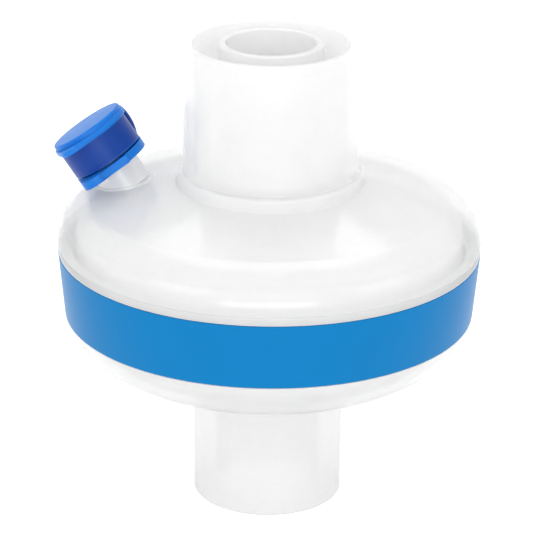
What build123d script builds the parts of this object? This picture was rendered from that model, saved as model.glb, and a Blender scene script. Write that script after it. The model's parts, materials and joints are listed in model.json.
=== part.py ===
from build123d import *
import os
from math import atan, cos, hypot, radians, sin

# A heat-and-moisture-exchange filter for a breathing circuit. Sizes are in millimetres and degrees.
# Z = 0 is the rim of the patient port, and +Z runs up the gas path to the machine port.
# Every body of revolution is drawn as radius and height, then turned about Z.

# Conical ports. Both cones widen by 1 mm of diameter in 40 mm of length behind a short straight lead.
# Edges count as being at a radius or a height within SAME_PLACE of it.
CONE_TAPER = 1 / 40
LEAD_LENGTH = 2.5
RIM_ROUNDING = 0.3
SAME_PLACE = 0.01

# Patient port: a 22 mm cone outside and a 15 mm socket inside
PATIENT_PORT_LENGTH = 21.3
PATIENT_CONE_RADIUS = 11.0
PATIENT_SOCKET_RADIUS = 7.75
PATIENT_SOCKET_DEPTH = 16.0
THROAT_RADIUS = 6.4
PORT_ROOT_FILLET = 1.0

# Machine port: a 22 mm socket round a 15 mm cone
MACHINE_PORT_LENGTH = 18.9
MACHINE_SOCKET_RADIUS = 11.25
MACHINE_SOCKET_DEPTH = 18.5
MACHINE_CONE_RADIUS = 7.61
MACHINE_CONE_BORE = 6.45
MACHINE_TUBE_WALL = 1.25
MACHINE_TUBE_DRAFT = 0.3
COLLAR_OVERHANG = 1.2
COLLAR_HEIGHT = 2.0
COLLAR_ROUNDING = 0.6

# Shell. The underside is flat up to UNDERSIDE_INSET from the rim, where the rounded corner starts.
WALL = 1.5
LOWER_SHELL_DEPTH = 18.6
RIM_RADIUS = 30.85
UNDERSIDE_INSET = 7.85
UNDERSIDE_RISE = 0.5
CORNER_RADIUS = 11.1
CORNER_START_ANGLE = -71.2
CORNER_SWEEP = 50.7

# Shoulder and shallow cone of the upper half, measured up from the seam and in from the rim
RIM_BAND_HEIGHT = 0.7
CREASE_INSET = 1.25
CREASE_HEIGHT = 3.8
CREASE_STEP = 0.15
RIDGE_INSET = 4.75
RIDGE_HEIGHT = 6.3
RIDGE_ROUNDING = 1.5
SHOULDER_BULGE = 0.32
DOME_RISE = 2.4

# Seam: a tongue of the upper half stands inside the lower half's rim and pinches the pad on a ledge
TONGUE_WALL = 1.05
TONGUE_LENGTH = 1.6
LOWER_RIM_WALL = 1.55
SEAM_CLEARANCE = 0.05

# Label band, in a shallow recess of the lower half
BAND_BELOW_SEAM = 1.2
BAND_ABOVE_CORNER = 0.6
BAND_THICKNESS = 0.25
BAND_RECESS = 0.2
BAND_END_GAP = 0.1

# Media
PAD_EDGE_THICKNESS = 1.2
PAD_THICKNESS = 3.2
PAD_EDGE_TAPER = 1.0
MEDIA_HEIGHT = 10.1
MEDIA_GAP = 0.3
RIB_COUNT = 12
RIB_THICKNESS = 1.0
RIB_INNER_RADIUS = 9.5
RIB_START_ANGLE = -75.7

# Sampling port, on the shallow cone and leaning outwards, its place measured in from the rim
SAMPLE_INSET = 9.55
SAMPLE_AZIMUTH = 172.0
SAMPLE_LEAN = 34.4
SAMPLE_LENGTH = 8.5
SAMPLE_RADIUS = 3.65
SAMPLE_BORE_RADIUS = 2.15
SAMPLE_BORE_TAPER = 0.06
SAMPLE_BEAD_RADIUS = 3.9
SAMPLE_BEAD_LENGTH = 0.9

# Cap, its ring and its strap. Heights are measured along the sampling port from its foot.
LOBE_ANGLE = 64.0
RING_HEIGHT = 3.0
RING_THICKNESS = 1.2
RING_RADIUS = 5.5
RING_CLEARANCE = 0.07
RING_STEP_RADIUS = 5.9
RING_STEP_ANGLE = 113.5
RING_STEP_WIDTH = 4.0
SKIRT_GAP = 0.3
SKIRT_HEIGHT = 4.2
SKIRT_RADIUS = 5.45
SKIRT_CLEARANCE = 0.15
FLANGE_THICKNESS = 0.8
FLANGE_RADIUS = 5.85
DISC_THICKNESS = 0.75
DISC_RADIUS = 5.6
DISC_ROUNDING = 0.2
CAP_ROOF_GAP = 0.3
PLUG_LENGTH = 3.0
PLUG_CLEARANCE = 0.15
TAB_REACH = 6.6
TAB_RADIUS = 2.6
LUG_RADIUS = 2.0
LUG_REACH = 6.5
LUG_SETBACK = 1.5
STRAP_WIDTH = 2.4
STRAP_THICKNESS = 0.7
STRAP_BULGE = 1.7

# Heights and radii worked out from the sizes above
seam_z = PATIENT_PORT_LENGTH + LOWER_SHELL_DEPTH
tongue_z = seam_z - TONGUE_LENGTH
ledge_z = tongue_z - PAD_EDGE_THICKNESS
ridge_radius = RIM_RADIUS - RIDGE_INSET
ridge_z = seam_z + RIDGE_HEIGHT
collar_z = ridge_z + DOME_RISE
collar_top_z = collar_z + COLLAR_HEIGHT
top_z = collar_top_z + MACHINE_PORT_LENGTH
socket_floor_z = top_z - MACHINE_SOCKET_DEPTH
machine_tube_radius = MACHINE_SOCKET_RADIUS + MACHINE_TUBE_WALL
collar_radius = machine_tube_radius + COLLAR_OVERHANG
dome_slope = DOME_RISE / (ridge_radius - collar_radius)
dome_angle = atan(dome_slope)
lower_rim_bore = RIM_RADIUS - LOWER_RIM_WALL
tongue_radius = lower_rim_bore - SEAM_CLEARANCE
tongue_bore = tongue_radius - TONGUE_WALL


def cone_radius(lead_radius, depth, sign=1):
    """Radius of a conical wall at a depth behind its mouth; sign is -1 in a socket."""
    return lead_radius + sign * CONE_TAPER / 2 * (depth - LEAD_LENGTH)


def dome_z(radius, inset=0.0):
    """Height of the shallow cone, or of a surface inset under it, at a radius."""
    return collar_z - dome_slope * (radius - collar_radius) - inset * hypot(1, dome_slope)


# The rounded lower corner is one arc. Its centre follows from where it meets the underside.
underside_z = PATIENT_PORT_LENGTH + UNDERSIDE_RISE
corner_centre = (
    RIM_RADIUS - UNDERSIDE_INSET - CORNER_RADIUS * cos(radians(CORNER_START_ANGLE)),
    underside_z - CORNER_RADIUS * sin(radians(CORNER_START_ANGLE)),
)


def corner_point(inset, angle):
    """A point of the lower corner, inset from its outer face."""
    reach = CORNER_RADIUS - inset
    return (
        corner_centre[0] + reach * cos(radians(angle)),
        corner_centre[1] + reach * sin(radians(angle)),
    )


def corner_arc(inset):
    """The lower corner's arc, from the underside to the side wall."""
    return CenterArc(corner_centre, CORNER_RADIUS - inset, CORNER_START_ANGLE, CORNER_SWEEP)


corner_end_angle = CORNER_START_ANGLE + CORNER_SWEEP
band_top_z = seam_z - BAND_BELOW_SEAM
side_foot = corner_point(0, corner_end_angle)
band_bottom_z = side_foot[1] + BAND_ABOVE_CORNER
side_slope = (RIM_RADIUS - side_foot[0]) / (seam_z - side_foot[1])


def side_radius(height, inset=0.0):
    """Radius of the lower half's conical side, or of a surface inset in it, at a height."""
    return RIM_RADIUS - side_slope * (seam_z - height) - inset


floor_z = PATIENT_PORT_LENGTH + WALL
chamber_radius = tongue_bore + SEAM_CLEARANCE
media_top_z = ledge_z - MEDIA_GAP
media_seat_z = media_top_z - MEDIA_HEIGHT
media_radius = tongue_bore - MEDIA_GAP

# Patient half of the housing
with BuildPart() as media_rib:
    with BuildSketch(Plane.XZ):
        with BuildLine():
            rib_corner = corner_arc(WALL / 2)
            Polyline(
                rib_corner @ 0,
                (RIB_INNER_RADIUS, PATIENT_PORT_LENGTH + WALL / 2),
                (RIB_INNER_RADIUS, (rib_corner @ 1).Y),
                rib_corner @ 1,
            )
        make_face()
    extrude(amount=RIB_THICKNESS / 2, both=True)
    # The ribs stop at the height on which the medium stands.
    split(bisect_by=Plane.XY.offset(media_seat_z), keep=Keep.BOTTOM)

with BuildPart() as lower_housing:
    with BuildSketch(Plane.XZ):
        with BuildLine():
            corner = corner_arc(0)
            port_root_radius = cone_radius(PATIENT_CONE_RADIUS, PATIENT_PORT_LENGTH)
            Polyline(
                (0, 0),
                (PATIENT_CONE_RADIUS, 0),
                (PATIENT_CONE_RADIUS, LEAD_LENGTH),
                (port_root_radius, PATIENT_PORT_LENGTH),
                corner @ 0,
            )
            Polyline(
                corner @ 1,
                (side_radius(band_bottom_z), band_bottom_z),
                (side_radius(band_bottom_z, BAND_RECESS), band_bottom_z),
                (side_radius(band_top_z, BAND_RECESS), band_top_z),
                (side_radius(band_top_z), band_top_z),
                (RIM_RADIUS, seam_z),
                (0, seam_z),
                (0, 0),
            )
        make_face()
    revolve(axis=Axis.Z)
    port_root = edges().filter_by(GeomType.CIRCLE).filter_by(
        lambda e: abs(e.radius - port_root_radius) < RIM_ROUNDING and e.center().Z > LEAD_LENGTH
    )
    fillet(port_root, PORT_ROOT_FILLET)
    # Chamber, with the ledge that the pad is pinched on
    with BuildSketch(Plane.XZ):
        with BuildLine():
            inner_corner = corner_arc(WALL)
            Polyline((0, floor_z), inner_corner @ 0)
            Polyline(
                inner_corner @ 1,
                (chamber_radius, ledge_z),
                (lower_rim_bore, ledge_z),
                (lower_rim_bore, seam_z),
                (0, seam_z),
                (0, floor_z),
            )
        make_face()
    revolve(axis=Axis.Z, mode=Mode.SUBTRACT)
    with PolarLocations(0, RIB_COUNT, start_angle=RIB_START_ANGLE):
        add(media_rib.part)
    # Socket for the patient connector, its stop and the throat into the chamber
    with BuildSketch(Plane.XZ):
        with BuildLine():
            Polyline(
                (0, 0),
                (PATIENT_SOCKET_RADIUS, 0),
                (PATIENT_SOCKET_RADIUS, LEAD_LENGTH),
                (cone_radius(PATIENT_SOCKET_RADIUS, PATIENT_SOCKET_DEPTH, -1), PATIENT_SOCKET_DEPTH),
                (THROAT_RADIUS, PATIENT_SOCKET_DEPTH),
                (THROAT_RADIUS, media_seat_z),
                (0, media_seat_z),
                close=True,
            )
        make_face()
    revolve(axis=Axis.Z, mode=Mode.SUBTRACT)
    patient_rim = edges().filter_by(GeomType.CIRCLE).filter_by_position(Axis.Z, -RIM_ROUNDING, 0)
    fillet(patient_rim, RIM_ROUNDING)
lower_housing.part.label = "lower_housing"

# Sampling port's own frame: x points down the cone and outwards, and z runs up the port
sample_radius = RIM_RADIUS - SAMPLE_INSET
sample_base = Vector(
    sample_radius * cos(radians(SAMPLE_AZIMUTH)),
    sample_radius * sin(radians(SAMPLE_AZIMUTH)),
    dome_z(sample_radius),
)
sample_axis = Vector(0, 0, 1).rotate(Axis.Y, SAMPLE_LEAN).rotate(Axis.Z, SAMPLE_AZIMUTH)
sample_out = Vector(1, 0, 0).rotate(Axis.Y, SAMPLE_LEAN).rotate(Axis.Z, SAMPLE_AZIMUTH)
sample_plane = Plane(origin=sample_base, x_dir=sample_out, z_dir=sample_axis)


def sample_level(height):
    """The plane across the sampling port at a height above its foot."""
    return sample_plane.offset(height)


# Machine half of the housing
inner_shoulder_z = seam_z + RIM_BAND_HEIGHT
port_floor_z = socket_floor_z - WALL
with BuildPart() as upper_housing:
    with BuildSketch(Plane.XZ):
        with BuildLine():
            crease = (RIM_RADIUS - CREASE_INSET, seam_z + CREASE_HEIGHT)
            Polyline(
                (0, tongue_z),
                (tongue_radius, tongue_z),
                (tongue_radius, seam_z),
                (RIM_RADIUS, seam_z),
                (RIM_RADIUS, seam_z + RIM_BAND_HEIGHT),
            )
            TangentArc((RIM_RADIUS, seam_z + RIM_BAND_HEIGHT), crease, tangent=(0, 1))
            crease_top = (crease[0] - CREASE_STEP, crease[1] + CREASE_STEP / 2)
            Line(crease, crease_top)
            # The shoulder swells outwards, which is to the right on the way up to the ridge.
            SagittaArc(crease_top, (ridge_radius, ridge_z), -SHOULDER_BULGE)
            Polyline(
                (ridge_radius, ridge_z),
                (collar_radius, collar_z),
                (collar_radius, collar_top_z),
                (machine_tube_radius + MACHINE_TUBE_DRAFT, collar_top_z),
                (machine_tube_radius, top_z),
                (0, top_z),
                (0, tongue_z),
            )
        make_face()
    revolve(axis=Axis.Z)
    ridge = edges().filter_by_position(Axis.Z, ridge_z - SAME_PLACE, ridge_z + SAME_PLACE)
    fillet(ridge, RIDGE_ROUNDING)
    collar_edge = edges().filter_by(GeomType.CIRCLE).filter_by(
        lambda e: abs(e.radius - collar_radius) < SAME_PLACE and e.center().Z > collar_z + SAME_PLACE
    )
    fillet(collar_edge, COLLAR_ROUNDING)
    # Sampling port, before the inside is cleared
    with BuildSketch(sample_level(-WALL)):
        Circle(SAMPLE_RADIUS)
    extrude(amount=SAMPLE_LENGTH + WALL)
    with BuildSketch(sample_level(SAMPLE_LENGTH - SAMPLE_BEAD_LENGTH)):
        Circle(SAMPLE_BEAD_RADIUS)
    extrude(amount=SAMPLE_BEAD_LENGTH)
    # Inside: the tongue's bore, the shoulder, the underside of the cone and the machine tube's bore
    with BuildSketch(Plane.XZ):
        with BuildLine():
            inner_ridge = (ridge_radius - WALL * sin(dome_angle), ridge_z - WALL * cos(dome_angle))
            Polyline((0, tongue_z), (tongue_bore, tongue_z), (tongue_bore, inner_shoulder_z))
            TangentArc((tongue_bore, inner_shoulder_z), inner_ridge, tangent=(0, 1))
            Polyline(
                inner_ridge,
                (machine_tube_radius, dome_z(machine_tube_radius, WALL)),
                (MACHINE_SOCKET_RADIUS, port_floor_z),
                (MACHINE_CONE_RADIUS, port_floor_z),
                (MACHINE_CONE_BORE, socket_floor_z),
                (MACHINE_CONE_BORE, top_z),
                (0, top_z),
                (0, tongue_z),
            )
        make_face()
    revolve(axis=Axis.Z, mode=Mode.SUBTRACT)
    # Ring-shaped socket between the two tubes
    with BuildSketch(Plane.XZ):
        with BuildLine():
            Polyline(
                (MACHINE_CONE_RADIUS, top_z),
                (MACHINE_CONE_RADIUS, top_z - LEAD_LENGTH),
                (cone_radius(MACHINE_CONE_RADIUS, MACHINE_SOCKET_DEPTH), socket_floor_z),
                (cone_radius(MACHINE_SOCKET_RADIUS, MACHINE_SOCKET_DEPTH, -1), socket_floor_z),
                (MACHINE_SOCKET_RADIUS, top_z - LEAD_LENGTH),
                (MACHINE_SOCKET_RADIUS, top_z),
                close=True,
            )
        make_face()
    revolve(axis=Axis.Z, mode=Mode.SUBTRACT)
    machine_rims = edges().filter_by(GeomType.CIRCLE).filter_by_position(
        Axis.Z, top_z - RIM_ROUNDING, top_z + RIM_ROUNDING
    )
    fillet(machine_rims, RIM_ROUNDING)
    # Tapered bore of the sampling port, through the cone
    bore_foot_radius = SAMPLE_BORE_RADIUS - SAMPLE_BORE_TAPER / 2 * (SAMPLE_LENGTH + 2 * WALL)
    with BuildSketch(sample_level(SAMPLE_LENGTH)):
        Circle(SAMPLE_BORE_RADIUS)
    with BuildSketch(sample_level(-2 * WALL)):
        Circle(bore_foot_radius)
    loft(mode=Mode.SUBTRACT)
upper_housing.part.label = "upper_housing"

# Filter pad, thick in the middle and pinched at its edge
with BuildPart() as filter_pad:
    with BuildSketch(Plane.XZ):
        with BuildLine():
            pad_shoulder = tongue_bore - MEDIA_GAP
            Polyline(
                (0, ledge_z),
                (lower_rim_bore - MEDIA_GAP, ledge_z),
                (lower_rim_bore - MEDIA_GAP, tongue_z),
                (pad_shoulder, tongue_z),
                (pad_shoulder - PAD_EDGE_TAPER, ledge_z + PAD_THICKNESS),
                (0, ledge_z + PAD_THICKNESS),
                close=True,
            )
        make_face()
    revolve(axis=Axis.Z)
filter_pad.part.label = "filter_pad"

# Heat-and-moisture-exchange foam disc, standing on the ribs
with BuildPart() as hme_media:
    with BuildSketch(Plane.XZ):
        with BuildLine():
            media_corner = corner_arc(WALL + MEDIA_GAP)
            Polyline(
                media_corner @ 1,
                (media_radius, media_top_z),
                (0, media_top_z),
                (0, (media_corner @ 0).Y),
                media_corner @ 0,
            )
        make_face()
    revolve(axis=Axis.Z)
    # The disc is cut off flat where it stands on the ribs.
    split(bisect_by=Plane.XY.offset(media_seat_z), keep=Keep.TOP)
hme_media.part.label = "hme_media"

# Label band, wrapped round the recess
with BuildPart() as label_band:
    with BuildSketch(Plane.XZ):
        with BuildLine():
            low = band_bottom_z + BAND_END_GAP
            high = band_top_z - BAND_END_GAP
            Polyline(
                (side_radius(low, BAND_RECESS), low),
                (side_radius(low, BAND_RECESS - BAND_THICKNESS), low),
                (side_radius(high, BAND_RECESS - BAND_THICKNESS), high),
                (side_radius(high, BAND_RECESS), high),
                close=True,
            )
        make_face()
    revolve(axis=Axis.Z)
label_band.part.label = "label_band"

# Heights of the cap's features along the sampling port
skirt_foot = RING_HEIGHT + RING_THICKNESS + SKIRT_GAP
flange_foot = skirt_foot + SKIRT_HEIGHT
disc_foot = flange_foot + FLANGE_THICKNESS
cap_roof = SAMPLE_LENGTH + CAP_ROOF_GAP
cap_bore = SAMPLE_BEAD_RADIUS + SKIRT_CLEARANCE
ring_bore = SAMPLE_RADIUS + RING_CLEARANCE
lug_cut = Plane(
    origin=sample_plane.from_local_coords(
        (-LUG_REACH * cos(radians(LOBE_ANGLE)), -LUG_REACH * sin(radians(LOBE_ANGLE)), 0)
    ),
    x_dir=sample_plane.z_dir,
    z_dir=-(sample_plane.x_dir * cos(radians(LOBE_ANGLE)) + sample_plane.y_dir * sin(radians(LOBE_ANGLE))),
)


def lobed_outline(body_radius):
    """A round outline drawn out to a thumb tab at LOBE_ANGLE and to a strap lug opposite."""
    with BuildSketch(mode=Mode.PRIVATE) as tab:
        Circle(body_radius)
        with PolarLocations(TAB_REACH - TAB_RADIUS, 1, start_angle=LOBE_ANGLE):
            Circle(TAB_RADIUS)
        make_hull()
    with BuildSketch(mode=Mode.PRIVATE) as lug:
        Circle(body_radius)
        with PolarLocations(LUG_REACH - LUG_SETBACK, 1, start_angle=LOBE_ANGLE + 180):
            Circle(LUG_RADIUS)
        make_hull()
    return tab.sketch + lug.sketch


# Cap over the sampling port
with BuildPart() as port_cap:
    with BuildSketch(sample_level(flange_foot)):
        add(lobed_outline(FLANGE_RADIUS))
    extrude(amount=FLANGE_THICKNESS)
    split(bisect_by=lug_cut, keep=Keep.BOTTOM)
    with BuildSketch(sample_level(disc_foot)):
        Circle(DISC_RADIUS)
    extrude(amount=DISC_THICKNESS)
    disc_top = faces().sort_by_distance(sample_level(disc_foot + DISC_THICKNESS).origin)[0]
    fillet(disc_top.edges(), DISC_ROUNDING)
    with BuildSketch(sample_level(skirt_foot)):
        Circle(SKIRT_RADIUS)
    extrude(amount=SKIRT_HEIGHT)
    with BuildSketch(sample_level(skirt_foot)):
        Circle(cap_bore)
    extrude(amount=cap_roof - skirt_foot, mode=Mode.SUBTRACT)
    with BuildSketch(sample_level(cap_roof - PLUG_LENGTH)):
        Circle(SAMPLE_BORE_RADIUS - SAMPLE_BORE_TAPER / 2 * PLUG_LENGTH - PLUG_CLEARANCE)
    extrude(amount=PLUG_LENGTH)
port_cap.part.label = "port_cap"

# Retaining ring round the neck of the sampling port
with BuildPart() as cap_ring:
    with BuildSketch(sample_level(RING_HEIGHT)):
        add(lobed_outline(RING_RADIUS))
        with PolarLocations(RING_STEP_RADIUS / 2, 1, start_angle=RING_STEP_ANGLE):
            Rectangle(RING_STEP_RADIUS, RING_STEP_WIDTH)
        Circle(ring_bore, mode=Mode.SUBTRACT)
    extrude(amount=RING_THICKNESS)
    split(bisect_by=lug_cut, keep=Keep.BOTTOM)
cap_ring.part.label = "cap_ring"

# Strap, arching from the cap's lug out and down to the ring's lug
strap_plane = Plane(
    origin=sample_base,
    x_dir=lug_cut.z_dir,
    z_dir=lug_cut.z_dir.cross(sample_axis),
)
with BuildPart() as cap_strap:
    with BuildSketch(strap_plane):
        with BuildLine():
            lug_top = (LUG_REACH - STRAP_THICKNESS, flange_foot + FLANGE_THICKNESS / 2)
            crown = (LUG_REACH + STRAP_BULGE, lug_top[1] - STRAP_BULGE)
            lug_low = (LUG_REACH - STRAP_THICKNESS, RING_HEIGHT + RING_THICKNESS / 2)
            upper_bend = TangentArc(lug_top, crown, tangent=(1, 0))
            TangentArc(crown, lug_low, tangent=upper_bend % 1)
        trace(line_width=STRAP_THICKNESS)
    extrude(amount=STRAP_WIDTH / 2, both=True)
    split(bisect_by=lug_cut, keep=Keep.TOP)
cap_strap.part.label = "cap_strap"

os.makedirs("parts", exist_ok=True)
export_step(lower_housing.part, "parts/lower_housing.step")
export_step(upper_housing.part, "parts/upper_housing.step")
export_step(filter_pad.part, "parts/filter_pad.step")
export_step(hme_media.part, "parts/hme_media.step")
export_step(label_band.part, "parts/label_band.step")
export_step(port_cap.part, "parts/port_cap.step")
export_step(cap_ring.part, "parts/cap_ring.step")
export_step(cap_strap.part, "parts/cap_strap.step")
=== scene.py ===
import json
from math import acos, atan2, cos, degrees, hypot, pi, radians, sin, tan

import bpy
from mathutils import Matrix, Vector


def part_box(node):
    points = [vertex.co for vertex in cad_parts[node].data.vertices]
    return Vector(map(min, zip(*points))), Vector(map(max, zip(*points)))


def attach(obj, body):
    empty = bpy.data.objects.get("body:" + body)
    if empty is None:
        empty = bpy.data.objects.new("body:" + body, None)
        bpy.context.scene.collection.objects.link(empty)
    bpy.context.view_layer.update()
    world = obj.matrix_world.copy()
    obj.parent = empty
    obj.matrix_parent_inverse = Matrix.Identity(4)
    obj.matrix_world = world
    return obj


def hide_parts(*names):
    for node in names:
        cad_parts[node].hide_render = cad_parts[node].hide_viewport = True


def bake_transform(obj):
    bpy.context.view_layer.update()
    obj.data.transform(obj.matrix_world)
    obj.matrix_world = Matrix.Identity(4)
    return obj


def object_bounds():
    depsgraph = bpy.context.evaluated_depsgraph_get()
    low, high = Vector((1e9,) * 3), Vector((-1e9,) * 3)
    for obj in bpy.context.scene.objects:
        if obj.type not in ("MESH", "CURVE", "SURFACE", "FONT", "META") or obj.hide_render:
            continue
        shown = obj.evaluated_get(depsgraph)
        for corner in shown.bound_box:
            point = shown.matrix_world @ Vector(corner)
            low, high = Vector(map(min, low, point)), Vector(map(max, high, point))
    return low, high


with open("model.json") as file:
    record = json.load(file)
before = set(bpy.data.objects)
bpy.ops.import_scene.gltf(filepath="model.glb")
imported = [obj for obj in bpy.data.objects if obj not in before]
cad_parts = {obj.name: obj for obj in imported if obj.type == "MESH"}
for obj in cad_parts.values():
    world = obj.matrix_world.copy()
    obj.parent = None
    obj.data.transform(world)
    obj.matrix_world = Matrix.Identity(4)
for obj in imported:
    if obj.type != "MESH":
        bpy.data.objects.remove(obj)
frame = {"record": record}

bl_info = {
    "name": "Breathing Circuit Filter",
    "version": (1, 0, 0),
    "blender": (4, 5, 0),
    "location": "3D View > Sidebar > Filter",
    "description": "Models a round breathing circuit filter with its ports, media, band and tethered cap",
    "category": "Add Mesh",
}

MM = 0.001
TURN_STEPS = 240
ARC_STEP = 12.0
ARC_SAG = 0.008 * MM
FINEST_ARC_STEP = ARC_STEP / 4
ROUND_STEPS = 96
MEDIA_STEPS = 120
FLAT_ANGLE = 0.5
MERGE_DISTANCE = 0.000002


# Places that the frame gives

cad_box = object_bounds()
mounts = {mount["name"]: mount for mount in frame["record"]["mounts"]}

seam_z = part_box("lower_housing")[1].z
rim_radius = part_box("lower_housing")[1].x
top_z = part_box("upper_housing")[1].z
tongue_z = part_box("upper_housing")[0].z
band_low, band_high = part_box("label_band")
pad_low, pad_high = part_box("filter_pad")
foam_low, foam_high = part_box("hme_media")

patient_cone_radius = mounts["patient_cone"]["dims"]["r_mm"] * MM
patient_socket_radius = mounts["patient_socket"]["dims"]["r_mm"] * MM
machine_cone_radius = mounts["machine_cone"]["dims"]["r_mm"] * MM

sample_tip = Vector(mounts["sample_port"]["pos_m"])
sample_axis = Vector(mounts["sample_port"]["axis"]).normalized()


# Sizes, colours and settings that a user may change

def length(name, description, default):
    """A size in metres that a user may change."""
    return bpy.props.FloatProperty(name=name, description=description, default=default,
                                   unit="LENGTH", precision=5)


def angle(name, description, default):
    """An angle, given here in degrees."""
    return bpy.props.FloatProperty(name=name, description=description, default=radians(default),
                                   unit="ROTATION")


def share(name, description, default):
    """A plain number from 0 to 1."""
    return bpy.props.FloatProperty(name=name, description=description, default=default,
                                   min=0.0, max=1.0)


def tint(name, description, default):
    """A surface colour."""
    return bpy.props.FloatVectorProperty(name=name, description=description, default=default,
                                         size=3, min=0.0, max=1.0, subtype="COLOR")


class HousingSizes(bpy.types.PropertyGroup):
    wall: length("Wall", "Thickness of the moulded shells", 1.5 * MM)
    taper: bpy.props.FloatProperty(
        name="Cone taper", description="Widening of a port's diameter over its length", default=0.025)
    lead: length("Lead", "Straight stretch at each cone's mouth", 2.5 * MM)
    rim_round: length("Rim rounding", "Rounding of the ports' rims", 0.3 * MM)
    root_round: length("Root rounding", "Rounding where the patient port meets the underside", 1.0 * MM)
    patient_length: length("Patient port", "Length of the patient port below the shell", 21.3 * MM)
    patient_stop: length("Patient stop", "Depth of the stop in the patient socket", 16.0 * MM)
    throat: length("Throat", "Radius of the throat into the chamber", 6.4 * MM)
    underside_inset: length("Underside inset", "Distance from the rim to the corner's foot", 7.85 * MM)
    underside_rise: length("Underside rise", "Rise of the underside from the port to the corner", 0.5 * MM)
    corner_round: length("Corner rounding", "Radius of the lower shell's rounded corner", 11.1 * MM)
    corner_start: angle("Corner start", "Where the rounded corner starts", -71.2)
    corner_sweep: angle("Corner sweep", "How far the rounded corner turns", 50.7)
    lip_angle: angle("Lip angle", "Where the mould's parting line runs round the rounded corner", -43.0)
    lip_step: length("Lip step", "Depth of the step at the parting line", 0.14 * MM)
    band_seat: length("Band seat", "Depth of the recess under the band", 0.2 * MM)
    band_gap: length("Band gap", "Gap between the band and each end of its recess", 0.1 * MM)
    rim_wall: length("Rim wall", "Thickness of the lower shell's rim outside the tongue", 1.55 * MM)
    tongue_wall: length("Tongue wall", "Thickness of the upper shell's tongue", 1.05 * MM)
    seam_gap: length("Seam gap", "Clearance between the tongue and the rim", 0.05 * MM)
    edge_round: length("Edge rounding", "Rounding of the shells' outer edges", 0.12 * MM)
    rim_height: length("Rim height", "Straight band of the upper shell above the seam", 0.7 * MM)
    crease_inset: length("Crease inset", "Distance from the rim in to the crease", 1.25 * MM)
    crease_height: length("Crease height", "Height of the crease above the seam", 3.8 * MM)
    crease_step: length("Crease step", "Width of the crease", 0.15 * MM)
    ridge_inset: length("Ridge inset", "Distance from the rim in to the ridge", 4.75 * MM)
    ridge_height: length("Ridge height", "Height of the ridge above the seam", 6.3 * MM)
    ridge_round: length("Ridge rounding", "Rounding of the ridge", 1.5 * MM)
    shoulder_bulge: length("Shoulder bulge", "Swell of the shoulder between crease and ridge", 0.32 * MM)
    dome_rise: length("Dome rise", "Rise of the shallow cone from the ridge to the collar", 2.4 * MM)
    rib_count: bpy.props.IntProperty(name="Ribs", description="Ribs under the foam disc", default=12)
    rib_thickness: length("Rib thickness", "Thickness of the ribs under the foam", 1.0 * MM)
    rib_inner: length("Rib inner radius", "Where the ribs start", 9.5 * MM)
    rib_angle: angle("Rib angle", "Where the first rib stands", -75.7)


class MachinePortSizes(bpy.types.PropertyGroup):
    socket_depth: length("Socket depth", "Depth of the ring-shaped socket", 18.5 * MM)
    port_length: length("Port length", "Length of the outer tube above its collar", 18.9 * MM)
    socket_radius: length("Socket radius", "Radius of the outer tube's bore at its mouth", 11.25 * MM)
    tube_wall: length("Tube wall", "Wall of the outer tube at its mouth", 1.25 * MM)
    tube_draft: length("Tube draft", "Extra radius of the outer tube at its foot", 0.3 * MM)
    cone_bore: length("Cone bore", "Radius of the inner tube's bore", 6.45 * MM)
    collar_overhang: length("Collar overhang", "How far the collar stands out from the tube", 1.2 * MM)
    collar_height: length("Collar height", "Height of the collar", 2.0 * MM)
    collar_round: length("Collar rounding", "Rounding of the collar's top edge", 0.6 * MM)
    collar_foot_round: length("Collar foot", "Rounding at the collar's and the tube's foot", 0.25 * MM)


class SamplePortSizes(bpy.types.PropertyGroup):
    port_length: length("Length", "Length of the sampling port above the cone", 8.5 * MM)
    neck: length("Neck", "Radius of the neck", 3.65 * MM)
    bead: length("Bead", "Radius of the bead at the tip", 3.9 * MM)
    bead_length: length("Bead length", "Length of the bead", 0.9 * MM)
    bore: length("Bore", "Radius of the tapered bore at its mouth", 2.15 * MM)
    bore_taper: bpy.props.FloatProperty(
        name="Bore taper", description="Taper of the bore's diameter", default=0.06)
    foot_reach: length("Foot reach", "How far the port's foot ring stands out from the neck", 0.18 * MM)
    foot_height: length("Foot height", "Height of the foot ring above the cone", 0.35 * MM)


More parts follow.
